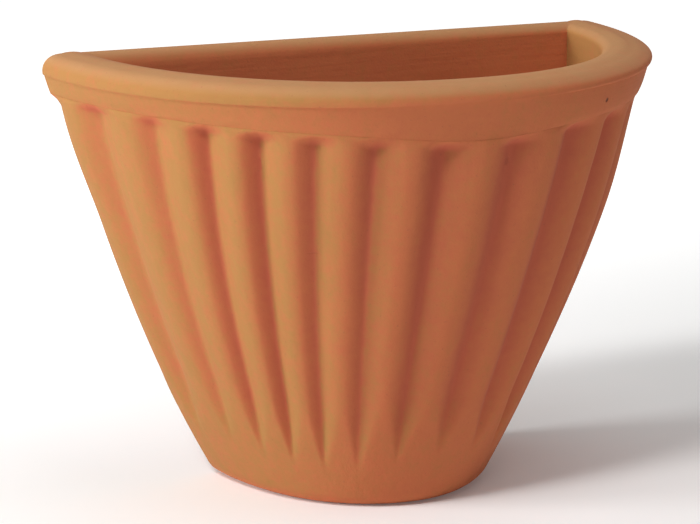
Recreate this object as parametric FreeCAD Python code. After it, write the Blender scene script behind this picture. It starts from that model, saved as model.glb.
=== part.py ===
"""Half-round wall planter in fired clay, built from its luted clay members.

Millimetres, +Z up.  +X runs along the wall to the right and -Y points out of the wall into the room.
The origin lies on the wall plane (the flat back of the pot), midway between the two hanging holes.

The pot is five clay members, each one solid that meets its neighbours face to face:

    base_slab    D-shaped floor with a drain hole; everything else stands on it
    back_slab    flat back that hangs on the wall, cut to the pot's outline, with two hanging holes
    fluted_wall  half-round tapering wall with vertical flutes, standing on the floor
    collar_band  plain coved band on top of the fluted wall
    rim_roll     rounded rim coil on top of the collar
"""

import FreeCAD, Part
import math
import os

Vector = FreeCAD.Vector

# ---------------------------------------------------------------- driving dimensions

# Overall
height = 213.0              # base to the top of the rim
rim_half_width = 150.0      # widest point of the rim roll, measured from the centre plane
rim_depth = 165.0           # wall plane to the front of the rim roll

# Plan outline: |x/a|^n + |y/b|^n = 1, a half ellipse made slightly fuller
plan_fullness = 2.08

# Outer face of the wall, on the rib crests
neck_setback = 6.3          # the neck lies this far inside the rim roll
foot_half_width = 69.4
foot_depth = 94.6
foot_level = 6.0            # height at which the foot sizes are taken
wall_bow = 6.5              # outward bow of the wall at middle height, off a straight taper

# Members stacked in height
base_thickness = 14.0
collar_height = 16.0
roll_height = 8.0

# Rim roll
roll_side_width = 24.0      # from the mouth to the outside, at the two ends
roll_front_width = 27.0     # the same at the front
roll_outer_rounding = 9.5   # width over which the roll's top rounds down to the outside
roll_inner_radius = 6.0     # rounding of the roll's edge towards the mouth
roll_underside = 1.4        # how far the roll stands out from the top of the collar, at its seat
roll_bulge_height = 1.8     # height of the roll's widest point above its seat

# Hollow for the soil
foot_wall = 13.5            # wall thickness on the rib crests, where the wall stands on the base
mouth_straight = 17.0       # the hollow stays at the mouth's size down to this far below the collar

# Back slab
back_thickness = 12.0
back_lip_radius = 6.0       # rounding of the top edge towards the hollow
back_edge_radius = 2.5      # rounding of the top edge towards the wall

# Flutes
flute_count = 14
flute_depth = 5.5           # at the neck
flute_foot_depth = 3.4      # at the foot, where the flutes are narrower
flute_sharpness = 1.25      # 1 is a plain wave, more makes ribs broader than grooves
flute_top_fade = 9.0        # height over which a groove rises out at the neck
flute_foot_fade = 14.0      # height over which a groove runs out above the foot
foot_band = 1.5             # plain band of the wall above the base slab

# Neck and collar
neck_tuck = 1.6             # how far the rib tops round in to meet the collar
neck_tuck_height = 6.4      # height over which they do
collar_setback = 1.0        # the rib tops stand this far proud of the foot of the collar
collar_flare = 6.7          # how far the collar's cove swings out below the rim

# Base
base_edge_radius = 4.0
drain_radius = 9.0
drain_from_wall = 46.0

# Hanging holes
hang_below_rim = 50.0
hang_spacing = 120.0
hang_hole_radius = 4.5

# Outlines and cuts
plan_spans = 24             # spans of a plain outline from end to end
spans_per_flute = 8
foot_fade_steps = 3         # outlines that shape the grooves' run-out above the foot
wall_steps = 5              # outlines up the wall, and up the hollow
neck_fade_steps = 4         # outlines that shape the grooves' scoops at the neck
collar_steps = 4
roll_side_steps = 3         # outlines from the roll's seat to its widest point
roll_crown_steps = 5        # outlines from there to its top
base_edge_steps = 4
cut_margin = 20.0           # how far cutters and closing lines run past the clay
edge_reach = 2.5            # how far from its expected place an edge may lie when it is looked up

# ---------------------------------------------------------------- derived sizes and levels

neck_half_width = rim_half_width - neck_setback
neck_depth = rim_depth - neck_setback
mouth_half_width = rim_half_width - roll_side_width
mouth_depth = rim_depth - roll_front_width
crown_height = roll_height - roll_bulge_height
roll_seat = height - roll_height
neck_level = roll_seat - collar_height
hang_level = height - hang_below_rim
straight_from = neck_level - mouth_straight


# ---------------------------------------------------------------- outlines and profiles

def bowed_taper(level, low, high):
    """A size that tapers from the foot to the neck along a gently bowed line."""
    share = (level - foot_level) / (neck_level - foot_level)
    return low + (high - low) * share + 4.0 * wall_bow * share * (1.0 - share)


def smooth_step(value):
    """0 below 0, 1 above 1 and a smooth rise between."""
    value = min(max(value, 0.0), 1.0)
    return value * value * (3.0 - 2.0 * value)


def outer_size(level):
    """Half width and depth of the wall's outer face at a height, on the rib crests."""
    width = bowed_taper(level, foot_half_width, neck_half_width)
    depth = bowed_taper(level, foot_depth, neck_depth)
    return width, depth


def hollow_size(level):
    """Half width and depth of the soil hollow at a height, up to where it runs straight."""
    share = (level - base_thickness) / (straight_from - base_thickness)
    width, depth = outer_size(level)
    top_width, top_depth = outer_size(straight_from)
    side_wall = foot_wall + (top_width - mouth_half_width - foot_wall) * share
    front_wall = foot_wall + (top_depth - mouth_depth - foot_wall) * share
    return width - side_wall, depth - front_wall


def plan_point(half_width, depth, angle, level):
    """Point on the half-round outline; angle 0 is the right end at the wall, pi the left end."""
    c = math.cos(angle)
    s = math.sin(angle)
    power = 2.0 / plan_fullness
    x = math.copysign(abs(c) ** power, c) * half_width
    y = -(abs(s) ** power) * depth
    return Vector(x, y, level)


def closed_outline(points):
    """Closed wire: a smooth curve through the points, closed by straight lines behind the wall plane."""
    count = len(points) - 1
    curve = Part.BSplineCurve()
    curve.interpolate(Points=points, Parameters=[i / count for i in range(count + 1)])
    right = points[0] + Vector(0, cut_margin, 0)
    left = points[-1] + Vector(0, cut_margin, 0)
    edges = [curve.toShape()]
    edges.append(Part.makeLine(points[-1], left))
    edges.append(Part.makeLine(left, right))
    edges.append(Part.makeLine(right, points[0]))
    return Part.Wire(edges)


def plain_outline(half_width, depth, level):
    """Plain half-round outline at a height."""
    angles = [math.pi * i / plan_spans for i in range(plan_spans + 1)]
    points = [plan_point(half_width, depth, angle, level) for angle in angles]
    return closed_outline(points)


def groove(angle):
    """Share of the flute depth at an angle: 0 on a rib, 1 in the middle of a groove."""
    wave = 0.5 - 0.5 * math.cos(2.0 * flute_count * angle)
    return wave ** flute_sharpness


def fluted_outline(level):
    """Outline of the fluted wall at a height."""
    width, depth = outer_size(level)
    tuck = neck_tuck * smooth_step(1.0 - (neck_level - level) / neck_tuck_height)
    share = (level - base_thickness) / (neck_level - base_thickness)
    full_depth = flute_foot_depth + (flute_depth - flute_foot_depth) * share
    rise = smooth_step((neck_level - level) / flute_top_fade)
    run_out = smooth_step((level - base_thickness - foot_band) / flute_foot_fade)
    spans = flute_count * spans_per_flute
    points = []
    for i in range(spans + 1):
        angle = math.pi * i / spans
        inset = tuck + full_depth * rise * run_out * groove(angle)
        points.append(plan_point(width - inset, depth - inset, angle, level))
    return closed_outline(points)


# ---------------------------------------------------------------- whole shapes to cut the members from

def level_steps(low, high, count):
    """Evenly spaced heights from low to high."""
    return [low + (high - low) * i / count for i in range(count + 1)]


def clip_between(shape, low_y, high_y):
    """Part of a shape between two planes parallel to the wall."""
    size = 2.0 * max(2.0 * rim_half_width, height)
    box = Part.makeBox(size, high_y - low_y, size, Vector(-size / 2.0, low_y, -cut_margin))
    return shape.common(box)


def fluted_body():
    """The wall's outer form, filled, from the base slab to the neck."""
    band_top = base_thickness + foot_band
    levels = [base_thickness, band_top]
    levels += level_steps(band_top, band_top + flute_foot_fade, foot_fade_steps)[1:]
    levels += level_steps(band_top + flute_foot_fade, neck_level - flute_top_fade, wall_steps)[1:]
    levels += level_steps(neck_level - flute_top_fade, neck_level, neck_fade_steps)[1:]
    return Part.makeLoft([fluted_outline(level) for level in levels], True, False)


def collar_size(level):
    """Half width and depth of the collar's outer face at a height: a cove that swings out below the rim."""
    share = (level - neck_level) / collar_height
    out = collar_flare * share * share - neck_tuck - collar_setback
    width, depth = outer_size(neck_level)
    return width + out, depth + out


def collar_body():
    """The collar's outer form, filled."""
    wires = []
    for level in level_steps(neck_level, roll_seat, collar_steps):
        wires.append(plain_outline(*collar_size(level), level))
    return Part.makeLoft(wires, True, False)


def roll_body():
    """The roll's outer form, filled: out from its seat round the bulge and up to its level top."""
    width, depth = collar_size(roll_seat)
    width += roll_underside
    depth += roll_underside
    wires = [plain_outline(width, depth, roll_seat)]
    for i in range(1, roll_side_steps + 1):
        turn = math.pi / 2.0 * i / roll_side_steps
        out_width = width + (rim_half_width - width) * math.sin(turn)
        out_depth = depth + (rim_depth - depth) * math.sin(turn)
        rise = roll_bulge_height * (1.0 - math.cos(turn))
        wires.append(plain_outline(out_width, out_depth, roll_seat + rise))
    for i in range(1, roll_crown_steps + 1):
        turn = math.pi / 2.0 * i / roll_crown_steps
        inset = roll_outer_rounding * (1.0 - math.cos(turn))
        level = roll_seat + roll_bulge_height + crown_height * math.sin(turn)
        wires.append(plain_outline(rim_half_width - inset, rim_depth - inset, level))
    return Part.makeLoft(wires, True, False)


def hollow_body():
    """The soil hollow: a taper from the top of the base slab, then straight up through the mouth."""
    wires = []
    for level in level_steps(base_thickness, straight_from, wall_steps):
        wires.append(plain_outline(*hollow_size(level), level))
    lower = Part.makeLoft(wires, True, False)
    mouth = Part.Face(plain_outline(mouth_half_width, mouth_depth, straight_from))
    upper = mouth.extrude(Vector(0, 0, height + cut_margin - straight_from))
    return lower.fuse(upper)


# ---------------------------------------------------------------- members

def front_part(shape):
    """The half-round members end at the front face of the back slab."""
    return clip_between(shape, -2.0 * rim_depth, -back_thickness)


def make_fluted_wall(body, hollow):
    """Half-round fluted wall, open at the back, where the back slab closes it."""
    return front_part(body.cut(hollow))


def make_collar_band(body, hollow):
    """Coved band between the fluted wall and the rim roll."""
    return front_part(body.cut(hollow))


def mouth_edges(ring):
    """The roll's sharp upper edge around the mouth."""
    level_edges = [edge for edge in ring.Edges if edge.BoundBox.ZMin > height - edge_reach]
    inside = [edge for edge in level_edges if edge.BoundBox.XMax < mouth_half_width + edge_reach]
    return [edge for edge in inside if edge.BoundBox.XMin < -mouth_half_width / 2.0]


def make_rim_roll(body, hollow):
    """Rounded rim coil."""
    ring = front_part(body.cut(hollow))
    longest = max(mouth_edges(ring), key=lambda edge: edge.Length)
    return ring.makeFillet(roll_inner_radius, [longest])


def back_outline_slice(body):
    """The strip of a filled member that lies in the back slab's thickness."""
    return clip_between(body, -back_thickness, 0.0)


def lip_cut():
    """Rounds the slab's top edges between the ends of the rim roll."""
    length = 2.0 * mouth_half_width
    start = Vector(-mouth_half_width, 0, 0)
    front = Part.makeBox(length, back_lip_radius, back_lip_radius,
                         start + Vector(0, -back_thickness, height - back_lip_radius))
    front_axis = start + Vector(0, back_lip_radius - back_thickness, height - back_lip_radius)
    front = front.cut(Part.makeCylinder(back_lip_radius, length, front_axis, Vector(1, 0, 0)))
    rear = Part.makeBox(length, back_edge_radius, back_edge_radius,
                        start + Vector(0, -back_edge_radius, height - back_edge_radius))
    rear_axis = start + Vector(0, -back_edge_radius, height - back_edge_radius)
    rear = rear.cut(Part.makeCylinder(back_edge_radius, length, rear_axis, Vector(1, 0, 0)))
    return front.fuse(rear)


def hanging_holes():
    """Two round holes through the back slab, side by side."""
    holes = []
    for side in (-1, 1):
        start = Vector(side * hang_spacing / 2.0, cut_margin, hang_level)
        reach = back_thickness + 2.0 * cut_margin
        holes.append(Part.makeCylinder(hang_hole_radius, reach, start, Vector(0, -1, 0)))
    return Part.makeCompound(holes)


def make_back_slab(wall, collar, roll):
    """Flat back cut to the outline of the wall, collar and roll, standing on the base slab."""
    slab = back_outline_slice(wall)
    slab = slab.fuse(back_outline_slice(collar))
    slab = slab.fuse(back_outline_slice(roll))
    slab = slab.removeSplitter()
    return slab.cut(lip_cut()).cut(hanging_holes())


def make_base_slab():
    """D-shaped floor with a rounded lower edge and a drain hole."""
    wires = []
    for i in range(base_edge_steps + 1):
        turn = math.pi / 2.0 * i / base_edge_steps
        inset = base_edge_radius * (1.0 - math.sin(turn))
        level = base_edge_radius * (1.0 - math.cos(turn))
        width, depth = outer_size(level)
        wires.append(plain_outline(width - inset, depth - inset, level))
    middle = (base_edge_radius + base_thickness) / 2.0
    for level in (middle, base_thickness):
        wires.append(plain_outline(*outer_size(level), level))
    slab = clip_between(Part.makeLoft(wires, True, False), -2.0 * rim_depth, 0.0)
    drain = Part.makeCylinder(drain_radius, base_thickness + 2.0 * cut_margin,
                              Vector(0, -drain_from_wall, -cut_margin))
    return slab.cut(drain)


def make_members():
    """All members by node name."""
    wall = fluted_body()
    collar = collar_body()
    roll = roll_body()
    hollow = hollow_body()
    return {
        "base_slab": make_base_slab(),
        "back_slab": make_back_slab(wall, collar, roll),
        "fluted_wall": make_fluted_wall(wall, hollow),
        "collar_band": make_collar_band(collar, hollow),
        "rim_roll": make_rim_roll(roll, hollow),
    }


def main():
    """Build every member, move the origin to the hanging point and write one file per member."""
    os.makedirs("parts", exist_ok=True)
    for name, shape in make_members().items():
        solid = shape.Solids[0]
        solid.translate(Vector(0, 0, -hang_level))
        box = solid.BoundBox
        print(name, "solids", len(shape.Solids), "valid", solid.isValid(), "volume", round(solid.Volume),
              "box", round(box.XLength, 1), round(box.YLength, 1), round(box.ZLength, 1))
        solid.exportStep("parts/" + name + ".step")


main()
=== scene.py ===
"""Half-round terracotta wall planter: the skin of its clay members, their terracotta finish with painted
light and shade in its colour, and a studio.

Lengths of the pot are in millimetres and levels are heights above its foot, until a point is placed: then
they are metres in the shared frame.  A turn is the angle round the half-round front: 0 at the right end of
the wall plane, 180 degrees at the left end.
"""

import logging
import math
from dataclasses import dataclass, field
from enum import Enum
from functools import partial
from typing import Callable, ClassVar, Dict, List, Optional, Sequence, Tuple, Union

import bmesh
import bpy
from mathutils import Matrix, Vector


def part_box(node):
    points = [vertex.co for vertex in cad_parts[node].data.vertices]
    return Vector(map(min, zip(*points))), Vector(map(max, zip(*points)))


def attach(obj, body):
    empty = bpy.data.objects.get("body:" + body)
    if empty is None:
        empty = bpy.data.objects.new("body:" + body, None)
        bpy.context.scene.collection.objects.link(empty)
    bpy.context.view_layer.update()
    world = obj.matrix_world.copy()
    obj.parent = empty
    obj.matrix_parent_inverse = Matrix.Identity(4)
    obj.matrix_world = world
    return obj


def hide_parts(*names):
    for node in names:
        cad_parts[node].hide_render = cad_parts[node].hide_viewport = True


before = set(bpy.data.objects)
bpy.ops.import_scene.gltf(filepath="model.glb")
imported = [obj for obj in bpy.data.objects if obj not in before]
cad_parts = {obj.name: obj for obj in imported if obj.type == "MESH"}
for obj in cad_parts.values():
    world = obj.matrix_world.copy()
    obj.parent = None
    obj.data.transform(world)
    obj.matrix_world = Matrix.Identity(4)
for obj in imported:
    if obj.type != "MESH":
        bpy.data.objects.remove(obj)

log = logging.getLogger("wall_planter")

MM = 0.001
HALF_TURN = math.pi
QUARTER_TURN = math.pi / 2.0
RIDES_ON = "root"
GROOVE_ATTRIBUTE = "groove"
TURN_PASSES = 5
NOISE_MIDDLE = 0.5


# ---------------------------------------------------------------- small sums

def held(value: float) -> float:
    """The value held between 0 and 1."""
    return min(max(value, 0.0), 1.0)


def smooth_step(value: float) -> float:
    """0 below 0, 1 above 1 and a smooth rise between."""
    value = held(value)
    return value * value * (3.0 - 2.0 * value)


def blend(low: float, high: float, share: float) -> float:
    """The value a share of the way from low to high."""
    return low + (high - low) * share


def run_in(share: float) -> float:
    """A rise from 0 to 1 that starts at an even slope and levels out at its top."""
    return share * (1.0 + share * (1.0 - share))


def bell(value: float, centre: float, width: float) -> float:
    """A smooth bump, 1 at its centre and fading to 0 within about two widths."""
    return math.exp(-((value - centre) / width) ** 2)


def soft_positive(value: float, softness: float) -> float:
    """The value where it is above 0 and 0 below, rounded over at the change."""
    return 0.5 * (value + math.sqrt(value * value + softness * softness))


def even_steps(low: float, high: float, count: int) -> List[float]:
    """Evenly spaced values from low to high, both included."""
    return [blend(low, high, i / count) for i in range(count + 1)]


def quarter_steps(count: int) -> List[float]:
    """Evenly spaced angles from 0 to a quarter turn, both included."""
    return even_steps(0.0, QUARTER_TURN, count)


def arch(height: float, share: float) -> float:
    """A low arch over a share from 0 to 1, with its height in the middle."""
    return 4.0 * height * share * (1.0 - share)


def rounding(radius: float, angle: float) -> Tuple[float, float]:
    """How far a rounded edge lies inside its two faces, at an angle from the second face."""
    return radius * (1.0 - math.sin(angle)), radius * (1.0 - math.cos(angle))


@dataclass(frozen=True)
class Change:
    """A stretch of turns or levels along which something changes; a negative span runs downwards."""

    start: float
    span: float

    def share(self, value: float) -> float:
        """0 before the stretch, 1 past it and a smooth rise along it."""
        return smooth_step((value - self.start) / self.span)


def turns(start: float, span: float) -> Change:
    """A change along a stretch of turns, in degrees."""
    return Change(math.radians(start), math.radians(span))


# ---------------------------------------------------------------- the pot's form

class Member(Enum):
    """The clay members, by the names of their nodes."""

    BASE = "base_slab"
    BACK = "back_slab"
    WALL = "fluted_wall"
    COLLAR = "collar_band"
    ROLL = "rim_roll"


class End(Enum):
    """The two ends of the half-round members."""

    RIGHT = "right"
    LEFT = "left"


@dataclass(frozen=True)
class Outline:
    """A half-round outline, by its half width and depth."""

    width: float
    depth: float

    def inset(self, by: float) -> "Outline":
        """The same outline drawn in on all sides."""
        return Outline(self.width - by, self.depth - by)

    def towards(self, other: "Outline", share: float) -> "Outline":
        """The outline a share of the way to another."""
        return Outline(blend(self.width, other.width, share), blend(self.depth, other.depth, share))


Spot = Tuple[Outline, float]
Row = Callable[[float], Spot]


def skin_rows(spot: Callable[[float, float], Spot], shares: Sequence[float]) -> List[Row]:
    """Rows of a skin, at shares of the way up it; a row gives its outline and level at a turn."""
    return [partial(spot, share) for share in shares]


def level_in_pot(member: Member, top: bool) -> float:
    """Height of a member's top or bottom above the pot's foot.

    Args:
        member: The clay member.
        top: Its top if true, else its bottom.

    Returns:
        The height in millimetres.
    """
    low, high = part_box(member.value)
    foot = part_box(Member.BASE.value)[0].z
    return ((high.z if top else low.z) - foot) / MM


@dataclass(frozen=True)
class PlanterForm:
    """The planter's outer skin and its hollow, as functions of turn and level."""

    # Overall, from the construction model
    foot_z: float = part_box(Member.BASE.value)[0].z
    rim_half_width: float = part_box(Member.ROLL.value)[1].x / MM
    rim_depth: float = -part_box(Member.ROLL.value)[0].y / MM
    back_thickness: float = -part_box(Member.BACK.value)[0].y / MM
    base_top: float = level_in_pot(Member.BASE, top=True)
    neck: float = level_in_pot(Member.COLLAR, top=False)
    seat: float = level_in_pot(Member.ROLL, top=False)
    height: float = level_in_pot(Member.ROLL, top=True)

    # Plan and taper of the rib crests
    plan_fullness: float = 2.08
    neck_setback: float = 6.3
    foot: Outline = Outline(69.4, 94.6)
    foot_level: float = 6.0
    wall_bow: float = 6.5

    # Flutes
    flute_count: int = 14
    flute_depth: float = 5.6
    flute_foot_depth: float = 3.6
    flute_right_gain: float = 0.22
    depth_sway: float = 0.14
    depth_sway_rate: float = 9.0
    depth_sway_phase: float = 1.07
    valley_rounding: float = 0.16
    flute_softness: float = 0.5
    rib_skew: float = 0.07
    flute_right_drift: float = math.radians(-1.2)
    flute_front_drift: float = math.radians(1.9)
    flute_left_drift: float = math.radians(-7.2)
    flute_end_drift: float = math.radians(2.6)
    drift_front: Change = turns(50.0, 55.0)
    drift_left: Change = turns(105.0, 51.0)
    drift_end: Change = turns(156.0, 22.0)
    flute_twist: float = math.radians(3.0)
    twist_height: float = 110.0
    twist_level: float = 160.0
    scoop_gap: float = 0.1
    scoop_gap_swing: float = 0.6
    scoop_gap_turn: float = math.radians(80.0)
    scoop_gap_period: float = math.radians(84.0)
    scoop_height: float = 5.5
    scoop_skew: float = math.radians(1.0)
    run_out_level: float = 24.0
    run_out_height: float = 34.0
    run_out_sway: float = 3.0
    run_out_sway_rate: float = 5.0
    shallow_share: float = 0.25

    # Crease between the flutes and the collar
    crease_right: float = 190.3
    crease_left: float = 196.0
    crease_rise: Change = turns(80.0, 95.0)
    crease_dip: float = 3.9
    crease_dip_turn: float = math.radians(91.0)
    crease_dip_width: float = math.radians(17.0)
    crease_front_turn: float = math.radians(98.0)
    crease_front_width: float = math.radians(34.0)
    crease_right_width: float = math.radians(18.0)
    left_change: Change = turns(60.0, 60.0)
    shoulder_height: float = 6.0
    shoulder_end_height: float = 3.0
    shoulder_tuck: float = 1.15
    shoulder_left_tuck: float = 0.7
    shoulder_right_tuck: float = 0.15
    crease_step: float = 0.15
    crease_left_step: float = 0.15
    crease_right_step: float = 0.05

    # Collar and roll
    collar_set_in: float = 0.45
    collar_flare: float = 1.25
    collar_left_flare: float = 0.9
    collar_right_flare: float = 0.6
    roll_underside: float = 0.3
    roll_right_underside: float = 1.1
    underside_change: Change = turns(88.0, -26.0)
    roll_bulge_height: float = 1.8
    roll_outer_rounding: float = 9.5
    roll_inner_radius: float = 6.0
    roll_side_width: float = 24.0
    roll_front_width: float = 27.0
    roll_crown: float = 0.5
    rim_lean: float = 0.014
    rim_sway_share: float = 0.4
    roll_under_steps: int = 5
    roll_crown_steps: int = 10
    roll_top_steps: int = 6
    roll_inner_steps: int = 8

    # Hollow
    foot_wall: float = 13.5
    mouth_straight: float = 17.0

    # Foot
    foot_edge_radius: float = 6.0
    rear_edge_radius: float = 2.0

    # Hand-made unevenness
    right_draw: float = 2.4
    right_draw_turn: float = math.radians(22.0)
    right_draw_width: float = math.radians(26.0)
    right_draw_rise: Change = Change(135.0, 50.0)
    left_draw: float = -3.0
    left_draw_width: float = math.radians(14.0)
    left_draw_rise: Change = Change(130.0, 55.0)
    hand_swell: float = 0.35
    swell_rate: float = 3.1
    swell_phase: float = 0.8
    swell_height: float = 37.0
    swell_level_phase: float = 1.0
    ripple_share: float = 0.6
    ripple_rate: float = 7.3
    ripple_height: float = 23.0

    # ------------------------------------------------ outlines

    @property
    def rim(self) -> Outline:
        """The widest outline, round the roll."""
        return Outline(self.rim_half_width, self.rim_depth)

    @property
    def mouth(self) -> Outline:
        """The mouth of the hollow."""
        return Outline(self.rim_half_width - self.roll_side_width, self.rim_depth - self.roll_front_width)

    def crest(self, level: float) -> Outline:
        """The outline over the rib crests at a level, on a gently bowed taper."""
        share = (level - self.foot_level) / (self.neck - self.foot_level)
        return self.foot.towards(self.rim.inset(self.neck_setback), share).inset(-arch(self.wall_bow, share))

    def crease(self, turn: float) -> float:
        """Level of the hand-cut line between the flutes and the collar."""
        dip = self.crease_dip * bell(turn, self.crease_dip_turn, self.crease_dip_width)
        return blend(self.crease_right, self.crease_left, self.crease_rise.share(turn)) - dip

    def drift(self, turn: float) -> float:
        """How far the flutes at a turn were drawn round from an even pitch.

        Args:
            turn: Turn round the front, in radians.

        Returns:
            The drift in radians.
        """
        right = blend(self.flute_right_drift, self.flute_front_drift, self.drift_front.share(turn))
        left = blend(right, self.flute_left_drift, self.drift_left.share(turn))
        return left + self.flute_end_drift * self.drift_end.share(turn)

    def flute_wave(self, turn: float, level: float) -> float:
        """How far a place lies from a rib's rounded crest towards the narrow valley beside it.

        Args:
            turn: Turn round the front, in radians.
            level: Height above the foot.

        Returns:
            0 on the crest and 1 in the valley.
        """
        twisted = turn - self.flute_twist * (self.twist_level - level) / self.twist_height
        phase = (twisted - self.drift(twisted)) * self.flute_count / HALF_TURN
        phase += self.rib_skew * 0.5 * (1.0 + math.cos(2.0 * math.pi * phase))
        crest = math.hypot(1.0, self.valley_rounding)
        rib = math.hypot(math.cos(math.pi * phase), self.valley_rounding)
        return (crest - rib) / (crest - self.valley_rounding)

    def groove(self, turn: float, level: float) -> float:
        """Depth of the grooves: a rounded gouge that lifts out at the neck and runs out above the foot.

        Args:
            turn: Turn round the front, in radians.
            level: Height above the foot.

        Returns:
            The depth below the rib crests, in millimetres.
        """
        share = (level - self.base_top) / (self.neck - self.base_top)
        full = blend(self.flute_foot_depth, self.flute_depth, share)
        sway = self.depth_sway * math.sin(self.depth_sway_rate * turn - self.depth_sway_phase)
        full *= 1.0 + sway + self.flute_right_gain * (1.0 - self.leftness(turn))
        gap_phase = 2.0 * math.pi * (turn - self.scoop_gap_turn) / self.scoop_gap_period
        gap = self.scoop_gap - self.scoop_gap_swing * math.cos(gap_phase)
        ending = run_in(held((self.crease(turn) - gap - level) / self.scoop_height))
        foot_level = self.run_out_level + self.run_out_sway * math.sin(self.run_out_sway_rate * turn)
        sunk = full * run_in(held((level - foot_level) / self.run_out_height))
        if sunk * ending <= 0.0:
            return 0.0
        lifted = 1.0 - ending
        cut = full * self.flute_wave(turn + self.scoop_skew * lifted * lifted, level) - (full - sunk)
        fade = min(1.0, sunk / (self.shallow_share * full))
        return soft_positive(cut, self.flute_softness) * fade * ending

    def unevenness(self, turn: float, level: float) -> float:
        """Inward wander of the skin from the potter's hands, and where the ends were drawn in or out.

        Args:
            turn: Turn round the front, in radians.
            level: Height above the foot.

        Returns:
            How far in the skin lies, in millimetres.
        """
        wander = math.sin(self.swell_rate * turn + self.swell_phase)
        wander *= math.sin(level / self.swell_height + self.swell_level_phase)
        wander += self.ripple_share * math.sin(self.ripple_rate * turn + level / self.ripple_height)
        right = self.right_draw * bell(turn, self.right_draw_turn, self.right_draw_width)
        right *= self.right_draw_rise.share(level)
        left = self.left_draw * bell(turn, HALF_TURN, self.left_draw_width)
        left *= self.left_draw_rise.share(level)
        return self.hand_swell * wander + right + left

    def rim_sway(self, turn: float) -> float:
        """How far in the rim wanders at a turn, less than the wall below it."""
        return self.unevenness(turn, self.seat) * self.rim_sway_share

    # ------------------------------------------------ skins

    def frontness(self, turn: float) -> float:
        """1 at the front, where the crease is cut deepest, and 0 towards the ends."""
        width = self.crease_right_width if turn < self.crease_front_turn else self.crease_front_width
        return bell(turn, self.crease_front_turn, width)

    def leftness(self, turn: float) -> float:
        """0 towards the right end and 1 towards the left one, with the change at the front."""
        return self.left_change.share(turn)

    def round_front(self, right: float, front: float, left: float, turn: float) -> float:
        """The size at a turn of what has one size at the right end, the front and the left end."""
        return blend(blend(right, left, self.leftness(turn)), front, self.frontness(turn))

    def wall(self, turn: float, level: float) -> Outline:
        """The outer skin of the wall and the base, up to the crease.

        Args:
            turn: Turn round the front, in radians.
            level: Height above the foot.

        Returns:
            The outline that passes through the skin there.
        """
        shoulder = blend(self.shoulder_end_height, self.shoulder_height, self.frontness(turn))
        over = held(1.0 - (self.crease(turn) - level) / shoulder)
        tuck = self.round_front(self.shoulder_right_tuck, self.shoulder_tuck, self.shoulder_left_tuck, turn)
        inset = self.groove(turn, level) + over * over * tuck + self.unevenness(turn, level)
        return self.crest(level).inset(inset)

    def wall_spot(self, share: float, turn: float) -> Spot:
        """A place on the wall's outer skin, a share of the way from the base to the crease."""
        level = blend(self.base_top, self.crease(turn), share)
        return self.wall(turn, level), level

    def underside_at(self, turn: float) -> float:
        """How far the roll's widest line stands out from its seat; the line is crisp only at the right."""
        return blend(self.roll_underside, self.roll_right_underside, self.underside_change.share(turn))

    def collar_spot(self, share: float, turn: float) -> Spot:
        """A place on the collar's coved skin, which is set back behind the rib tops at its foot.

        Args:
            share: Share of the way from the crease to the roll's seat.
            turn: Turn round the front, in radians.

        Returns:
            The outline and level.
        """
        crease = self.crease(turn)
        step = self.round_front(self.crease_right_step, self.crease_step, self.crease_left_step, turn)
        foot = self.wall(turn, crease).inset(step)
        top = self.rim.inset(self.underside_at(turn) + self.collar_set_in + self.rim_sway(turn))
        flare = self.round_front(self.collar_right_flare, self.collar_flare, self.collar_left_flare, turn)
        return foot.towards(top, share ** flare), blend(crease, self.seat, share)

    def roll_row(self, across: float, out: float, level: float, under: float = 0.0) -> Row:
        """A row of the roll.

        Args:
            across: Share of the way from the widest outline to the mouth.
            out: How far outside that outline the row lies.
            level: Its height above the foot.
            under: Share of the roll's underside by which it is drawn in.

        Returns:
            The row.
        """
        def row(turn: float) -> Spot:
            """Outline and level at a turn."""
            drawn = self.rim_sway(turn) * (1.0 - across) - out + under * self.underside_at(turn)
            return self.rim.towards(self.mouth, across).inset(drawn), level
        return row

    def roll_outer_rows(self) -> List[Row]:
        """Rows from the roll's seat out round its underside, over its crown and across its gently arched top.

        Returns:
            The rows, in order.
        """
        rows = []
        for angle in quarter_steps(self.roll_under_steps):
            back, rise = rounding(1.0, angle)
            rows.append(self.roll_row(0.0, 0.0, self.seat + self.roll_bulge_height * rise, back))
        low = self.seat + self.roll_bulge_height
        high = self.height - self.roll_crown
        for angle in quarter_steps(self.roll_crown_steps)[1:]:
            _, inset = rounding(self.roll_outer_rounding, angle)
            rows.append(self.roll_row(0.0, -inset, blend(low, high, math.sin(angle))))
        for share in even_steps(0.0, 1.0, self.roll_top_steps)[1:-1]:
            out = blend(-self.roll_outer_rounding, self.roll_inner_radius, share)
            rows.append(self.roll_row(share, out, high + arch(self.roll_crown, share)))
        return rows

    def inner_rounding(self, angle: float) -> Tuple[float, float]:
        """How far outside the mouth, and how high, the roll's inner rounding lies at an angle."""
        out, drop = rounding(self.roll_inner_radius, angle)
        return out, self.height - self.roll_crown - drop

    def roll_inner_rows(self) -> List[Row]:
        """Rows down over the rounding into the mouth."""
        spots = [self.inner_rounding(angle) for angle in quarter_steps(self.roll_inner_steps)]
        return [self.roll_row(1.0, out, level) for out, level in spots]

    def hollow(self, level: float) -> Outline:
        """The hollow's outline: a taper above the base, then straight up to the mouth.

        Args:
            level: Height above the foot.

        Returns:
            The outline.
        """
        straight_from = self.neck - self.mouth_straight
        share = (level - self.base_top) / (straight_from - self.base_top)
        if share >= 1.0:
            return self.mouth
        top = self.crest(straight_from)
        side = blend(self.foot_wall, top.width - self.mouth.width, share)
        front = blend(self.foot_wall, top.depth - self.mouth.depth, share)
        skin = self.crest(level)
        return Outline(skin.width - side, skin.depth - front)

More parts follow.
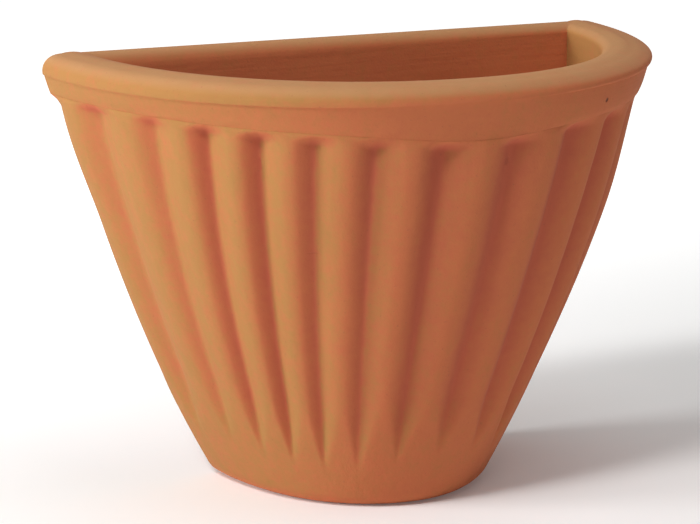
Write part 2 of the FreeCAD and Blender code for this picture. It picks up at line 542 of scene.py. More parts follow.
    def hollow_rows(self, low: Optional[float], high: Optional[float], count: int) -> List[Row]:
        """Rows down the hollow's skin.

        Args:
            low: Lower level, or None for the crease.
            high: Upper level, or None for the crease.
            count: Number of steps between them.

        Returns:
            The rows.
        """
        def spot(share: float, turn: float) -> Spot:
            """A place on the hollow's skin, a share of the way up."""
            bottom, top = (self.crease(turn) if level is None else level for level in (low, high))
            level = blend(bottom, top, share)
            return self.hollow(level), level
        return skin_rows(spot, even_steps(1.0, 0.0, count))

    # ------------------------------------------------ placing

    def roll_share(self, level: float) -> float:
        """0 at the roll's seat and 1 at the rim's top, with a smooth rise between."""
        return smooth_step((level - self.seat) / (self.height - self.seat))

    def lean(self, x: float, level: float) -> float:
        """How far the rim's top is raised at the left and lowered at the right."""
        return -self.rim_lean * x * self.roll_share(level)

    def put(self, x: float, y: float, level: float) -> Vector:
        """A point of the pot in the shared frame, in metres."""
        z = self.foot_z + (level + self.lean(x, level)) * MM
        return Vector((x * MM, y * MM, z))

    def place(self, spot: Spot, turn: float) -> Vector:
        """The point of an outline at a turn, in the shared frame.

        Args:
            spot: The outline and its level.
            turn: Turn round the front, in radians.

        Returns:
            The point, in metres.
        """
        outline, level = spot
        power = 2.0 / self.plan_fullness
        c = math.cos(turn)
        x = math.copysign(abs(c) ** power, c) * outline.width
        y = -(max(math.sin(turn), 0.0) ** power) * outline.depth
        return self.put(x, y, level)

    def turn_at(self, row: Row, end: End, front: float) -> float:
        """Turn at which a row passes a plane parallel to the wall.

        Args:
            row: The row.
            end: The end of the row to look at.
            front: Distance of the plane in front of the wall plane.

        Returns:
            The turn in radians.
        """
        turn = 0.0
        for _ in range(TURN_PASSES):
            real = turn if end is End.RIGHT else HALF_TURN - turn
            depth = row(real)[0].depth
            turn = math.asin(min(1.0, front / depth) ** (self.plan_fullness / 2.0))
        return turn if end is End.RIGHT else HALF_TURN - turn


# ---------------------------------------------------------------- meshes

def add_object(name: str, data: bpy.types.ID) -> bpy.types.Object:
    """A new object in the scene, made from its mesh, light or camera."""
    made = bpy.data.objects.new(name, data)
    bpy.context.scene.collection.objects.link(made)
    return made


@dataclass
class ClayMesh:
    """Collects the points and faces of one closed piece of clay."""

    points: List[Vector] = field(default_factory=list)
    grooves: List[float] = field(default_factory=list)
    faces: List[Sequence[int]] = field(default_factory=list)
    fills: List[List[List[int]]] = field(default_factory=list)

    def add(self, point: Vector, groove: float = 0.0) -> int:
        """Adds a point.

        Args:
            point: The point, in metres.
            groove: How deep in a groove it lies, as a share of the flutes' depth.

        Returns:
            Its number.
        """
        self.points.append(point)
        self.grooves.append(groove)
        return len(self.points) - 1

    def join_rows(self, rows: Sequence[Sequence[int]], closed: bool) -> None:
        """Faces between neighbouring rows of points.

        Args:
            rows: Rows of point numbers, all of one length.
            closed: Also join the last row to the first.
        """
        following = list(rows[1:]) + ([rows[0]] if closed else [])
        for row, after in zip(rows, following):
            for i in range(len(row) - 1):
                self.faces.append((row[i], row[i + 1], after[i + 1], after[i]))

    def fill(self, *loops: List[int]) -> None:
        """A flat face inside the first loop of points, with the other loops as its holes."""
        self.fills.append(list(loops))

    def build(self, name: str, sharp_angle: float) -> bpy.types.Object:
        """Makes the object.

        Args:
            name: Name of the piece.
            sharp_angle: Edges that turn by more than this, in radians, are shaded sharp.

        Returns:
            The new object, linked to the scene.
        """
        form = bmesh.new()
        layer = form.verts.layers.float.new(GROOVE_ATTRIBUTE)
        verts = [form.verts.new(point) for point in self.points]
        for vert, groove in zip(verts, self.grooves):
            vert[layer] = groove
        for loop in self.faces:
            form.faces.new([verts[i] for i in loop]).smooth = True
        for loops in self.fills:
            ends = [pair for loop in loops for pair in zip(loop, loop[1:] + loop[:1])]
            pairs = [(verts[a], verts[b]) for a, b in ends]
            edges = [form.edges.get(pair) or form.edges.new(pair) for pair in pairs]
            made = bmesh.ops.triangle_fill(form, use_beauty=True, edges=edges)["geom"]
            for face in made:
                if isinstance(face, bmesh.types.BMFace):
                    face.smooth = False
        bmesh.ops.recalc_face_normals(form, faces=form.faces)
        form.normal_update()
        if form.calc_volume(signed=True) < 0.0:
            bmesh.ops.reverse_faces(form, faces=form.faces)
        open_edges = sum(1 for edge in form.edges if not edge.is_manifold)
        mesh = bpy.data.meshes.new(name)
        form.to_mesh(mesh)
        form.free()
        mesh.set_sharp_from_angle(angle=sharp_angle)
        piece = add_object(name, mesh)
        log.info("%s: %d points, %d faces", name, len(mesh.vertices), len(mesh.polygons))
        log.info("%s: %d open edges", name, open_edges)
        return piece


# ---------------------------------------------------------------- shader sums

Value = Union[float, "Signal"]
Colour = Tuple[float, float, float]
Axes = Tuple[float, float, float]


@dataclass(frozen=True)
class Noise:
    """Cloudy variation over the clay, with features of about 1/scale metres, and how strongly it shows."""

    scale: float
    detail: float
    roughness: float
    strength: float
    stretch: Axes = (1.0, 1.0, 1.0)


class Signal:
    """A value, colour or vector on its way through a material, with the sums that are used on values."""

    def __init__(self, shader: "ShaderSheet", socket: bpy.types.NodeSocket) -> None:
        """Wraps an output socket of a node."""
        self.shader = shader
        self.socket = socket

    def _sum(self, operation: str, first: Value, second: Value) -> "Signal":
        """A Math node on two values."""
        return self.shader.node("ShaderNodeMath", {"operation": operation}, {0: first, 1: second})

    def __add__(self, other: Value) -> "Signal":
        """self + other."""
        return self._sum("ADD", self, other)

    def __radd__(self, other: Value) -> "Signal":
        """other + self."""
        return self._sum("ADD", other, self)

    def __sub__(self, other: Value) -> "Signal":
        """self - other."""
        return self._sum("SUBTRACT", self, other)

    def __rsub__(self, other: Value) -> "Signal":
        """other - self."""
        return self._sum("SUBTRACT", other, self)

    def __mul__(self, other: Value) -> "Signal":
        """self * other."""
        return self._sum("MULTIPLY", self, other)

    def __rmul__(self, other: Value) -> "Signal":
        """other * self."""
        return self._sum("MULTIPLY", other, self)

    def ramp(self, low: float, high: float) -> "Signal":
        """A smooth rise from 0 at low to 1 at high, or a fall where low is above high."""
        return self.shader.node("ShaderNodeMapRange", {"interpolation_type": "SMOOTHSTEP"},
                                {"Value": self, "From Min": low, "From Max": high})

    def clamp(self) -> "Signal":
        """Held between 0 and 1."""
        return self.shader.node("ShaderNodeClamp", {}, {"Value": self})

    def swing(self, strength: float) -> "Signal":
        """A noise's swing to both sides of its middle, at a strength."""
        return (self - NOISE_MIDDLE) * strength


class ShaderSheet:
    """Adds nodes to one node tree and joins them."""

    MIX_FACTOR, MIX_A, MIX_B, MIX_RESULT = 0, 6, 7, 2

    def __init__(self, owner: Union[bpy.types.Material, bpy.types.World]) -> None:
        """Starts the nodes of a material or the world afresh."""
        owner.use_nodes = True
        self.tree = owner.node_tree
        self.tree.nodes.clear()

    def node(self, kind: str, settings: Dict[str, object], sockets: Dict[Union[int, str], object],
             output: Union[int, str] = 0) -> Signal:
        """Adds a node.

        Args:
            kind: The node's type.
            settings: Its settings, set before its sockets.
            sockets: Values or signals for its inputs, by name or number.
            output: The output to hand back.

        Returns:
            That output as a signal.
        """
        node = self.tree.nodes.new(kind)
        for name, value in settings.items():
            setattr(node, name, value)
        for key, value in sockets.items():
            if isinstance(value, Signal):
                self.tree.links.new(value.socket, node.inputs[key])
            else:
                node.inputs[key].default_value = value
        ends = node.outputs if len(node.outputs) else node.inputs
        return Signal(self, ends[output])

    def mix(self, share: Value, first: object, second: object) -> Signal:
        """Mixes two colours, each a signal or a tuple of red, green and blue."""
        pair = [c if isinstance(c, Signal) else (*c, 1.0) for c in (first, second)]
        return self.node("ShaderNodeMix", {"data_type": "RGBA"},
                         {self.MIX_FACTOR: share, self.MIX_A: pair[0], self.MIX_B: pair[1]}, self.MIX_RESULT)

    def vector(self, operation: str, first: Signal, second: Axes = (0.0, 0.0, 0.0),
               output: str = "Vector") -> Signal:
        """A Vector Math node, which gives a vector, or by its output "Value" a value."""
        return self.node("ShaderNodeVectorMath", {"operation": operation}, {0: first, 1: second}, output)

    def axis(self, vector: Signal, name: str) -> Signal:
        """One of the three values of a vector, by its axis."""
        return self.node("ShaderNodeSeparateXYZ", {}, {"Vector": vector}, name)

    def noise(self, place: Signal, noise: Noise) -> Signal:
        """A noise from 0 to 1, along its stretched axes."""
        return self.node("ShaderNodeTexNoise", {"noise_dimensions": "3D"}, {
            "Vector": self.vector("MULTIPLY", place, noise.stretch),
            "Scale": noise.scale,
            "Detail": noise.detail,
            "Roughness": noise.roughness,
        })


# ---------------------------------------------------------------- finish

@dataclass(frozen=True)
class Blemish:
    """A small mark in the clay: its place and radius in metres, its depth in millimetres, and how much shade
    is painted into it.
    """

    centre: Axes
    radius: float
    depth: float
    painted_shade: float
    stretch: Axes = (1.0, 1.0, 1.0)


Marks = Sequence[Tuple[Signal, Blemish]]


@dataclass(frozen=True)
class FiredClay:
    """Unglazed terracotta: red body, ochre bloom on the side that faced the flame, dust, fine sandy grain."""
    # Unglazed terracotta: red body; ochre painted as light on the faces turned to the left and up; deeper red
    # painted as shade in the grooves; a pale dusting on what faces up, partly real and partly painted light;
    # painted shade in the marks; fine sandy grain.

    name: str = "fired_terracotta"
    # The deep red is painted shade for the grooves, the ochre painted light for the faces that the lights
    # reach, the pale dusting colour partly painted light on the tops, and the pit colour painted shade in the
    # marks.
    deep: Colour = (0.50, 0.112, 0.060)
    body: Colour = (0.58, 0.168, 0.067)
    ochre: Colour = (0.395, 0.186, 0.056)
    dust_and_lit_top: Colour = (0.50, 0.262, 0.127)
    speck: Colour = (0.30, 0.10, 0.06)
    pit: Colour = (0.12, 0.045, 0.03)
    roughness: float = 0.88
    specular: float = 0.25

    # Noises that vary the ochre at random, by their strengths
    clouds: Noise = Noise(11.0, 3.0, 0.55, 0.4)
    mottle: Noise = Noise(75.0, 4.0, 0.6, 0.5)
    streaks: Noise = Noise(210.0, 3.0, 0.55, 0.55, (1.0, 1.0, 0.07))
    grain: Noise = Noise(620.0, 3.0, 0.6, 0.50)
    freckle: Noise = Noise(230.0, 3.0, 0.65, 0.6)

    # Painted light: ochre painted on the faces turned towards the lights at the left and above, with less of
    # it in the grooves as painted shade
    painted_light_side: Axes = (-0.76, 0.02, 0.45)
    painted_light_from: float = -0.04
    painted_light_to: float = 0.68
    painted_light_ochre: float = 1.05
    groove_ochre_shade: float = 0.10

    # Painted shade: deeper red painted in the grooves, weakest where the painted light falls, with random red
    # mottle and freckles
    groove_shade: float = 1.15
    light_hides_groove_shade: float = 0.85
    mottle_red: float = 0.5
    freckle_red: float = 0.7
    red_share: float = 0.9

    # A pale dusting on what faces up, partly real and partly painted light on the tops; dark specks; uneven
    # roughness; marks with painted shade in them
    dust_and_lit_top_from: float = 0.25
    dust_and_lit_top_to: float = 0.95
    dust_and_lit_top_even: float = 0.45
    dust_and_lit_top_mottled: float = 0.5
    dust_and_lit_top_share: float = 0.75
    specks: Noise = Noise(900.0, 1.0, 0.5, 0.35)
    speck_from: float = 0.70
    speck_to: float = 0.78
    mottle_roughness: float = 0.12
    grain_roughness: float = 0.10
    mark_core: float = 0.35

    # Relief, by heights in millimetres: drawn strokes on the wall, thrown rings on collar and rim
    sand: Noise = Noise(900.0, 3.0, 0.65, 0.10)
    lumps: Noise = Noise(160.0, 3.0, 0.5, 0.24)
    strokes: Noise = Noise(260.0, 2.0, 0.5, 0.14, (1.0, 1.0, 0.05))
    rings: Noise = Noise(420.0, 2.0, 0.5, 0.14, (0.04, 0.04, 1.0))
    rings_below_neck: float = 2.0
    rings_above_neck: float = 6.0

    def make(self, form: PlanterForm, blemishes: Sequence[Blemish]) -> bpy.types.Material:
        """Builds the material.

        Args:
            form: The pot's form, for the level at which the relief changes.
            blemishes: The marks to put in the clay.

        Returns:
            The material.
        """
        material = bpy.data.materials.new(self.name)
        sheet = ShaderSheet(material)
        place = sheet.node("ShaderNodeTexCoord", {}, {}, "Object")
        marks = [(self._mask(sheet, place, mark), mark) for mark in blemishes]
        colour, roughness = self._colour(sheet, place, marks)
        shader = sheet.node("ShaderNodeBsdfPrincipled", {}, {
            "Base Color": colour,
            "Roughness": roughness,
            "Specular IOR Level": self.specular,
            "Normal": self._relief(sheet, place, form, marks),
        })
        sheet.node("ShaderNodeOutputMaterial", {}, {"Surface": shader})
        return material

    def _mask(self, sheet: ShaderSheet, place: Signal, mark: Blemish) -> Signal:
        """1 in the middle of a mark and 0 outside it."""
        offset = sheet.vector("MULTIPLY", sheet.vector("SUBTRACT", place, mark.centre), mark.stretch)
        return sheet.vector("LENGTH", offset, output="Value").ramp(mark.radius, mark.radius * self.mark_core)

    def _colour(self, sheet: ShaderSheet, place: Signal, marks: Marks) -> Tuple[Signal, Signal]:
        """Works out the colour of the clay, with painted light and shade in it, and how rough it is.

        Args:
            sheet: The material's nodes.
            place: The place on the surface.
            marks: The blemishes, with their masks.

        Returns:
            Base colour and roughness.
        """
        facing = sheet.node("ShaderNodeNewGeometry", {}, {}, "Normal")
        # Painted light: faces turned towards the lights at the left and above are painted ochre; the grooves
        # get less, as painted shade.
        light_facing = sheet.vector("DOT_PRODUCT", facing, self.painted_light_side, "Value")
        painted_light = light_facing.ramp(self.painted_light_from, self.painted_light_to)
        groove = sheet.node("ShaderNodeAttribute", {"attribute_name": GROOVE_ATTRIBUTE}, {}, "Fac")
        noises = (self.clouds, self.mottle, self.streaks, self.grain, self.freckle)
        signals = [sheet.noise(place, noise) for noise in noises]
        _, mottle, _, grain, freckle = signals

        painted_light_and_mottle = painted_light * self.painted_light_ochre - groove * self.groove_ochre_shade
        for signal, noise in zip(signals, noises):
            painted_light_and_mottle = painted_light_and_mottle + signal.swing(noise.strength)
        colour = sheet.mix(painted_light_and_mottle.clamp(), self.body, self.ochre)
        # Painted shade: deeper red painted in the grooves, less where the painted light falls, plus random
        # red mottle and freckles.
        sunk = groove * self.groove_shade * (1.0 - painted_light * self.light_hides_groove_shade)
        sunk = sunk + mottle.swing(-self.mottle_red) + freckle.swing(-self.freckle_red)
        colour = sheet.mix(sunk.clamp() * self.red_share, colour, self.deep)
        # A pale dusting on what faces up: partly real, partly painted light on the tops.
        dust_and_lit_top_mask = sheet.axis(facing, "Z").ramp(self.dust_and_lit_top_from, self.dust_and_lit_top_to)
        dust_and_lit_top_mask = dust_and_lit_top_mask * (self.dust_and_lit_top_even + mottle * self.dust_and_lit_top_mottled)
        colour = sheet.mix(dust_and_lit_top_mask.clamp() * self.dust_and_lit_top_share, colour, self.dust_and_lit_top)
        specks = sheet.noise(place, self.specks).ramp(self.speck_from, self.speck_to)
        colour = sheet.mix(specks * self.specks.strength, colour, self.speck)
        # Painted shade in the pit, nick and scratch.
        for mask, mark in marks:
            colour = sheet.mix(mask * mark.painted_shade, colour, self.pit)
        roughness = self.roughness + mottle.swing(self.mottle_roughness) + grain.swing(self.grain_roughness)
        return colour, roughness.clamp()

    def _relief(self, sheet: ShaderSheet, place: Signal, form: PlanterForm, marks: Marks) -> Signal:
        """Works out the fine relief of the clay.

        Args:
            sheet: The material's nodes.
            place: The place on the surface.
            form: The pot's form, for the level of the neck.
            marks: The blemishes, with their masks.

        Returns:
            The normal.
        """
        noises = (self.sand, self.lumps, self.strokes, self.rings)
        sand, lumps, strokes, rings = [sheet.noise(place, noise) * noise.strength for noise in noises]
        neck = form.foot_z + form.neck * MM
        low, high = neck - self.rings_below_neck * MM, neck + self.rings_above_neck * MM
        on_rim = sheet.axis(place, "Z").ramp(low, high)
        height = sand + lumps + strokes * (1.0 - on_rim) + rings * on_rim
        for mask, mark in marks:
            height = height - mask * mark.depth
        return sheet.node("ShaderNodeBump", {}, {"Strength": 1.0, "Distance": MM, "Height": height})


# ---------------------------------------------------------------- members

def dress(piece: bpy.types.Object, member: Member, clay: bpy.types.Material) -> None:
    """Gives a piece its finish and its place in the frame.

    Args:
        piece: The new piece.
        member: The clay member that it stands for.
        clay: Its material.
    """
    piece.data.materials.append(clay)
    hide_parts(member.value)
    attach(piece, RIDES_ON)


@dataclass(frozen=True)
class ClayMember:
    """A clay member of the pot, made as one closed mesh."""

    form: PlanterForm
    sharp_angle: float = math.radians(38.0)
    member: ClassVar[Member]
    piece_name: ClassVar[str]

    def shape(self, mesh: ClayMesh) -> None:
        """Adds the member's skin to a mesh."""
        raise NotImplementedError(self.piece_name)

    def build(self, clay: bpy.types.Material) -> bpy.types.Object:
        """Builds and dresses the piece.

        Args:
            clay: Its material.

        Returns:
            The piece.
        """
        mesh = ClayMesh()
        self.shape(mesh)
        piece = mesh.build(self.piece_name, self.sharp_angle)
        dress(piece, self.member, clay)
        return piece


@dataclass(frozen=True)
class SweptMember(ClayMember):
    """A clay member that sweeps round the front and ends against the back slab."""

    columns_per_flute: int = 24

    @property
    def columns(self) -> int:
        """Number of faces from end to end."""
        return self.form.flute_count * self.columns_per_flute

    def sweep(self, mesh: ClayMesh, rows: Sequence[Row], grooved: int = 0) -> None:
        """Sweeps a closed section round the front and closes its ends.

        Args:
            mesh: The mesh to add to.
            rows: The section's rows, in order round it.
            grooved: How many of the first rows carry the grooves' depth.
        """
        form = self.form
        numbered = []
        for index, row in enumerate(rows):
            right = form.turn_at(row, End.RIGHT, form.back_thickness)
            left = form.turn_at(row, End.LEFT, form.back_thickness)
            line = []
            for column in range(self.columns + 1):
                turn = blend(right, left, column / self.columns)
                spot = row(turn)
                point = form.place(spot, turn)
                if column in (0, self.columns):
                    point.y = -form.back_thickness * MM
                depth = form.groove(turn, spot[1]) / form.flute_depth if index < grooved else 0.0
                line.append(mesh.add(point, depth))
            numbered.append(line)
        mesh.join_rows(numbered, closed=True)
        mesh.faces.append([line[0] for line in numbered])
        mesh.faces.append([line[-1] for line in numbered])


@dataclass(frozen=True)
class FlutedWall(SweptMember):
    """The half-round fluted wall, from the base slab to the crease."""

    member = Member.WALL
    piece_name = "fluted_clay"
    lower_rows: int = 44
    upper_rows: int = 26
    upper_share: float = 0.86
    hollow_steps: int = 28

    def shape(self, mesh: ClayMesh) -> None:
        """Adds the skin, in closer rows below the crease, and the hollow.

        Args:
            mesh: The mesh to add to.
        """
        form = self.form
        shares = even_steps(0.0, self.upper_share, self.lower_rows)
        shares += even_steps(self.upper_share, 1.0, self.upper_rows)[1:]
        rows = skin_rows(form.wall_spot, shares)
        grooved = len(rows)
        rows += skin_rows(form.collar_spot, [0.0])
        rows += form.hollow_rows(form.base_top, None, self.hollow_steps)
        self.sweep(mesh, rows, grooved)


@dataclass(frozen=True)
class CollarBand(SweptMember):
    """The plain coved band between the crease and the roll."""

    member = Member.COLLAR
    piece_name = "collar_clay"
    rows: int = 12
    hollow_steps: int = 4

    def shape(self, mesh: ClayMesh) -> None:
        """Adds the coved skin and the hollow.

        Args:
            mesh: The mesh to add to.
        """
        form = self.form
        rows = skin_rows(form.collar_spot, even_steps(0.0, 1.0, self.rows))
        self.sweep(mesh, rows + form.hollow_rows(None, form.seat, self.hollow_steps))


@dataclass(frozen=True)
class RimRoll(SweptMember):
    """The rounded rim coil."""

    member = Member.ROLL
    piece_name = "rim_clay"

    def shape(self, mesh: ClayMesh) -> None:
        """Adds the coil's section, from its seat round to the mouth.

        Args:
            mesh: The mesh to add to.
        """
        form = self.form
        seat = form.roll_row(1.0, 0.0, form.seat)
        self.sweep(mesh, form.roll_outer_rows() + form.roll_inner_rows() + [seat])


@dataclass(frozen=True)
class Bore:
    """A round hole with softened edges, through a flat member."""

    radius: float
    edge_radius: float = 0.9
    sides: int = 40
    edge_steps: int = 3

    def line(self, mesh: ClayMesh, thickness: float,
             put: Callable[[float, float, float], Vector]) -> Tuple[List[int], List[int]]:
        """Adds the hole's sleeve.

        Args:
            mesh: The mesh to add to.
            thickness: Thickness of the member.
            put: Gives the point for two offsets across the hole and a depth along it.

        Returns:
            The loops of points at its two ends.
        """
        edge = [rounding(self.edge_radius, angle) for angle in quarter_steps(self.edge_steps)]
        edge += [(out, thickness - depth) for out, depth in reversed(edge)]
        rings = []
        for out, depth in edge:
            radius = self.radius + out
            ring = []
            for side in range(self.sides):
                angle = 2.0 * math.pi * side / self.sides
                ring.append(mesh.add(put(radius * math.cos(angle), radius * math.sin(angle), depth)))
            rings.append(ring)
        mesh.join_rows([ring + ring[:1] for ring in rings], closed=False)
        return rings[0], rings[-1]


Slice = Tuple[float, float, float]


@dataclass(frozen=True)
class BackSlab(ClayMember):
    """The flat back, cut to the pot's outline, with a rounded upper edge and two hanging holes."""

    member = Member.BACK
    piece_name = "back_clay"
    hole_spacing: float = 120.0
    hole: Bore = Bore(radius=4.5)
    lip_radius: float = 6.0
    wall_steps: int = 70
    collar_steps: int = 12
    rear_steps: int = 4
    strip_steps: int = 24

    def slices(self) -> List[Slice]:
        """Slices through the slab, from its front face to its rear one.

        Returns:
            The distance in front of the wall plane, the lip's drop and the rear rounding of each.
        """
        form = self.form
        made = []
        for angle in reversed(quarter_steps(form.roll_inner_steps)):
            out, _ = form.inner_rounding(angle)
            _, drop = rounding(self.lip_radius, angle)
            made.append((form.back_thickness - out, drop, 0.0))
        made.append((blend(form.back_thickness - self.lip_radius, form.rear_edge_radius, 0.5), 0.0, 0.0))
        for angle in quarter_steps(self.rear_steps):
            front, rear = rounding(form.rear_edge_radius, angle)
            made.append((front, 0.0, rear))
        return made

    def side_rows(self) -> List[Row]:
        """Rows up one side of the slab: wall, collar, then out and over the roll."""
        form = self.form
        rows = skin_rows(form.wall_spot, even_steps(0.0, 1.0, self.wall_steps))
        rows += skin_rows(form.collar_spot, even_steps(0.0, 1.0, self.collar_steps))
        return rows + form.roll_outer_rows()

    def side_point(self, row: Row, end: End, slice_at: Slice) -> Vector:
        """A point where a row crosses a slice, with the rear edge rounded over.

        Args:
            row: The row.
            end: The side of the slab.
            slice_at: The slice.

        Returns:
            The point.
        """
        form = self.form
        front, _, rear = slice_at

        def drawn_in(turn: float) -> Spot:
            """The row with the rear rounding taken off."""
            outline, level = row(turn)
            return outline.inset(rear), level - rear * form.roll_share(level)

        turn = form.turn_at(drawn_in, end, front)
        point = form.place(drawn_in(turn), turn)
        point.y = -front * MM
        return point

    def shape(self, mesh: ClayMesh) -> None:
        """Adds the edge all round, slice by slice, and the two faces with their holes.

        Args:
            mesh: The mesh to add to.
        """
        sides = self.side_rows()
        loops = []
        for slice_at in self.slices():
            right = [mesh.add(self.side_point(row, End.RIGHT, slice_at)) for row in sides]
            left = [mesh.add(self.side_point(row, End.LEFT, slice_at)) for row in sides]
            loops.append(right + self.strip(mesh, slice_at) + left[::-1])
        mesh.join_rows(loops, closed=False)
        mesh.faces.append([loop[0] for loop in loops] + [loop[-1] for loop in reversed(loops)])
        front_holes, rear_holes = self.holes(mesh)
        mesh.fill(loops[0], *front_holes)
        mesh.fill(loops[-1], *rear_holes)

    def strip(self, mesh: ClayMesh, slice_at: Slice) -> List[int]:
        """Adds a slice's points from the right roll's inner rounding across to the left one's.

        Args:
            mesh: The mesh to add to.
            slice_at: The slice.

        Returns:
            The points' numbers.
        """
        form = self.form
        front, drop, rear = slice_at
        lip = form.height - form.roll_crown - drop
        right, left = [], []
        for row in form.roll_inner_rows():
            for end, made in ((End.RIGHT, right), (End.LEFT, left)):
                turn = form.turn_at(row, end, front)
                spot = row(turn)
                made.append((form.place(spot, turn).x / MM, max(spot[1], lip) - rear))
        middle = [(blend(right[-1][0], left[-1][0], share), lip - rear)
                  for share in even_steps(0.0, 1.0, self.strip_steps)[1:-1]]
        return [mesh.add(form.put(x, -front, level)) for x, level in right + middle + left[::-1]]

    def holes(self, mesh: ClayMesh) -> Tuple[List[List[int]], List[List[int]]]:
        """Adds the hanging holes.

        Args:
            mesh: The mesh to add to.

        Returns:
            Their loops of points in the front and in the rear face.
        """
        form = self.form
        front, rear = [], []
        for side in (-1.0, 1.0):
            centre = side * self.hole_spacing / 2.0

            def put(across: float, up: float, depth: float) -> Vector:
                """A point of the sleeve; the holes lie at the frame's own level."""
                return Vector(((centre + across) * MM, (depth - form.back_thickness) * MM, up * MM))

            near, far = self.hole.line(mesh, form.back_thickness, put)
            front.append(near)
            rear.append(far)
        return front, rear


@dataclass(frozen=True)
class BaseSlab(ClayMember):
    """The half-round floor of the pot, with a rounded lower edge and a drain hole."""

    member = Member.BASE
    piece_name = "foot_clay"
    drain: Bore = Bore(radius=9.0, edge_radius=1.6)
    drain_from_wall: float = 46.0
    columns: int = 220
    side_steps: int = 4
    edge_steps: int = 7
    rear_steps: int = 4

    def ring(self, mesh: ClayMesh, level: float, inset: float) -> List[int]:
        """Adds a row of points round the slab, from the right rear edge to the left.

        Args:
            mesh: The mesh to add to.
            level: Height above the foot.
            inset: How far in from the wall's skin.

        Returns:
            The points' numbers.
        """
        form = self.form

        def row(turn: float) -> Spot:
            """The outline at this level."""
            return form.wall(turn, level).inset(inset), level

        rear_angles = quarter_steps(self.rear_steps)[1:]
        made = [self.rear_point(row, End.RIGHT, angle) for angle in reversed(rear_angles)]
        right = form.turn_at(row, End.RIGHT, form.rear_edge_radius)
        left = form.turn_at(row, End.LEFT, form.rear_edge_radius)
        made += [form.place(row(turn), turn) for turn in even_steps(right, left, self.columns)]
        made += [self.rear_point(row, End.LEFT, angle) for angle in rear_angles]
        return [mesh.add(point) for point in made]

    def rear_point(self, row: Row, end: End, angle: float) -> Vector:
        """A point on the rounding between the outline and the wall plane.

        Args:
            row: The outline.
            end: The side of the slab.
            angle: Angle round the rounding, in radians.

        Returns:
            The point.
        """
        form = self.form
        front, rear = rounding(form.rear_edge_radius, angle)

        def drawn_in(turn: float) -> Spot:
            """The row with the rounding taken off."""
            outline, level = row(turn)
            return outline.inset(rear), level

        turn = form.turn_at(drawn_in, end, front)
        point = form.place(drawn_in(turn), turn)
        point.y = -front * MM
        return point

    def shape(self, mesh: ClayMesh) -> None:
        """Adds the side, the rounded lower edge, and the two faces with the drain hole.

        Args:
            mesh: The mesh to add to.
        """
        radius = self.form.foot_edge_radius
        levels = even_steps(self.form.base_top, radius, self.side_steps)
        rings = [self.ring(mesh, level, 0.0) for level in levels]
        for angle in quarter_steps(self.edge_steps)[1:]:
            rings.append(self.ring(mesh, *rounding(radius, angle)))
        mesh.join_rows([ring + ring[:1] for ring in rings], closed=False)
        top, bottom = self.drain.line(mesh, self.form.base_top, self.put_drain)
        mesh.fill(rings[0], top)
        mesh.fill(rings[-1], bottom)

    def put_drain(self, across: float, along: float, depth: float) -> Vector:
        """A point of the drain hole's sleeve, by its depth below the floor."""
        form = self.form
        return form.put(across, along - self.drain_from_wall, form.base_top - depth)


# ---------------------------------------------------------------- studio

def direction(azimuth: float, elevation: float) -> Vector:
    """Direction at an angle in degrees to the right of straight in front, and above the horizon."""
    a, e = math.radians(azimuth), math.radians(elevation)
    return Vector((math.sin(a) * math.cos(e), -math.cos(a) * math.cos(e), math.sin(e)))


@dataclass(frozen=True)
class SoftBox:
    """A square soft light aimed at the pot."""

    name: str
    azimuth: float
    elevation: float
    power: float
    side: float
    distance: float = 1.8
    colour: Colour = (1.0, 1.0, 1.0)

    def build(self, aim: Vector) -> None:
        """Makes the light.

        Args:
            aim: The point that it is aimed at.
        """
        lamp = bpy.data.lights.new(self.name, "AREA")
        lamp.shape = "SQUARE"
        lamp.size = self.side
        lamp.energy = self.power
        lamp.color = self.colour
        holder = add_object(self.name, lamp)
        towards = direction(self.azimuth, self.elevation)
        holder.location = aim + towards * self.distance
        holder.rotation_euler = towards.to_track_quat("Z", "Y").to_euler()


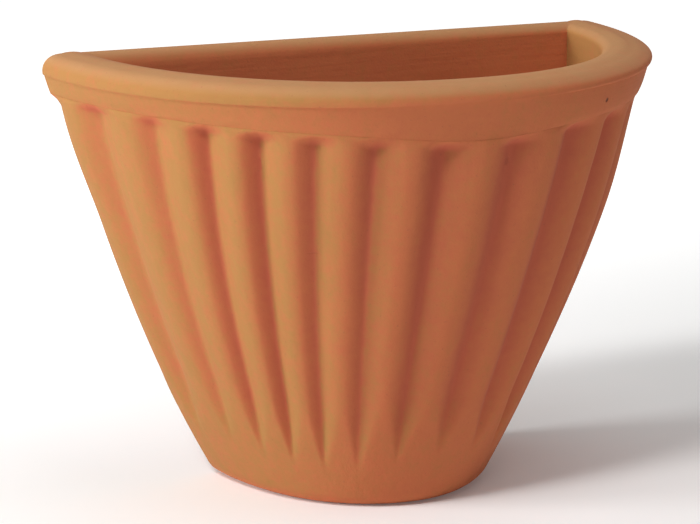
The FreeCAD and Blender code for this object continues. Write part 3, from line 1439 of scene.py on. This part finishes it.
@dataclass(frozen=True)
class Studio:
    """Camera, pale floor, soft lights and the pale room behind."""

    form: PlanterForm

    # Camera, at the photograph's viewing angle
    camera_azimuth: float = -26.25
    camera_elevation: float = 12.93
    camera_roll: float = -0.31
    camera_distance: float = 1386.15
    camera_aim: Tuple[float, float, float] = (-20.64, -60.0, 113.69)
    lens: float = 150.48
    sensor_width: float = 36.0

    # Floor, which glows more at the back and far away
    floor_radius: float = 7.0
    floor_sides: int = 96
    floor_colour: Colour = (0.90, 0.90, 0.895)
    floor_roughness: float = 0.9
    floor_specular: float = 0.1
    floor_glow: float = 0.08
    floor_far_glow: float = 0.72
    behind_from: float = -0.05
    behind_to: float = 0.7
    away_from: float = 1.6
    away_to: float = 3.0

    # Surrounding light
    room_colour: Colour = (1.0, 0.99, 0.97)
    room_front: float = 0.02
    room_behind: float = 0.38
    room_from: float = -0.30
    room_to: float = 0.40

    soft_boxes: Tuple[SoftBox, ...] = (
        SoftBox("side_light", azimuth=-103.0, elevation=14.0, power=20.5, side=0.55),
        SoftBox("key_left", azimuth=-60.0, elevation=48.0, power=18.5, side=0.35),
        SoftBox("top_light", azimuth=20.0, elevation=72.0, power=7.5, side=1.0),
        SoftBox("fill_right", azimuth=80.0, elevation=15.0, power=1.4, side=1.0),
    )

    def build(self) -> None:
        """Builds the camera, floor and lights."""
        bpy.context.scene.view_settings.view_transform = "Standard"
        self.build_camera()
        self.build_floor()
        self.build_room()
        aim = Vector((0.0, -self.form.rim_depth * MM / 2.0, 0.0))
        for box in self.soft_boxes:
            box.build(aim)

    def build_camera(self) -> None:
        """Makes the camera and aims it."""
        lens = bpy.data.cameras.new("camera")
        lens.sensor_width = self.sensor_width
        lens.lens = self.lens
        camera = add_object("camera", lens)
        back = direction(self.camera_azimuth, self.camera_elevation)
        aim = self.form.put(*self.camera_aim)
        turned = back.to_track_quat("Z", "Y").to_matrix()
        rolled = Matrix.Rotation(math.radians(self.camera_roll), 3, back) @ turned
        camera.matrix_world = Matrix.Translation(aim + back * self.camera_distance * MM) @ rolled.to_4x4()
        bpy.context.scene.camera = camera

    def build_floor(self) -> None:
        """Makes the pale floor that the pot stands on."""
        form = bmesh.new()
        bmesh.ops.create_circle(form, cap_ends=True, segments=self.floor_sides, radius=self.floor_radius)
        mesh = bpy.data.meshes.new("floor")
        form.to_mesh(mesh)
        form.free()
        floor = add_object("floor", mesh)
        floor.location.z = self.form.foot_z
        material = bpy.data.materials.new("pale_floor")
        sheet = ShaderSheet(material)
        place = sheet.node("ShaderNodeTexCoord", {}, {}, "Object")
        near, far = (self.floor_glow,) * 3, (self.floor_far_glow,) * 3
        behind = sheet.axis(place, "Y").ramp(self.behind_from, self.behind_to)
        away = sheet.vector("LENGTH", place, output="Value").ramp(self.away_from, self.away_to)
        shader = sheet.node("ShaderNodeBsdfPrincipled", {}, {
            "Base Color": (*self.floor_colour, 1.0),
            "Roughness": self.floor_roughness,
            "Specular IOR Level": self.floor_specular,
            "Emission Color": sheet.mix((1.0 - behind) * (1.0 - away), far, near),
            "Emission Strength": 1.0,
        })
        sheet.node("ShaderNodeOutputMaterial", {}, {"Surface": shader})
        mesh.materials.append(material)

    def build_room(self) -> None:
        """Makes the surrounding light: dim in front of the pot, paler behind it."""
        world = bpy.data.worlds.new("studio")
        sheet = ShaderSheet(world)
        towards = sheet.node("ShaderNodeTexCoord", {}, {}, "Generated")
        behind = sheet.axis(towards, "Y").ramp(self.room_from, self.room_to)
        strength = self.room_front + behind * (self.room_behind - self.room_front)
        colour = (*self.room_colour, 1.0)
        sky = sheet.node("ShaderNodeBackground", {}, {"Color": colour, "Strength": strength})
        sheet.node("ShaderNodeOutputWorld", {}, {"Surface": sky})
        bpy.context.scene.world = world


# ---------------------------------------------------------------- the whole

def blemishes(form: PlanterForm) -> List[Blemish]:
    """The small marks that the clay shows.

    Args:
        form: The pot's form, to set the marks on its skin.

    Returns:
        The marks.
    """
    def on_wall(turn: float, level: float) -> Axes:
        """A place on the outer skin.

        Args:
            turn: Turn in degrees.
            level: Height above the foot.

        Returns:
            The place, in metres.
        """
        angle = math.radians(turn)
        crease = form.crease(angle)
        if level > crease:
            return tuple(form.place(form.collar_spot((level - crease) / (form.seat - crease), angle), angle))
        return tuple(form.place((form.wall(angle, level), level), angle))

    # Each mark is a dent in the relief with shade painted into it.
    pit = Blemish(on_wall(turn=63.0, level=197.2), radius=0.0014, depth=0.9, painted_shade=0.75)
    nick = Blemish(on_wall(turn=84.6, level=174.7), radius=0.0016, depth=0.4, painted_shade=0.10,
                   stretch=(1.0, 1.0, 0.55))
    scratch = Blemish(on_wall(turn=122.9, level=135.0), radius=0.0014, depth=0.15, painted_shade=0.08,
                      stretch=(0.35, 0.35, 2.4))
    return [pit, nick, scratch]


def main() -> None:
    """Builds the studio, then the pot from the foot up."""
    logging.basicConfig(level=logging.INFO)
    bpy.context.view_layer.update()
    form = PlanterForm()
    Studio(form).build()
    clay = FiredClay().make(form, blemishes(form))
    for member in (BaseSlab(form), FlutedWall(form), CollarBand(form), RimRoll(form), BackSlab(form)):
        piece = member.build(clay)
        log.info("built %s", piece.name)


if __name__ == "__main__":
    main()
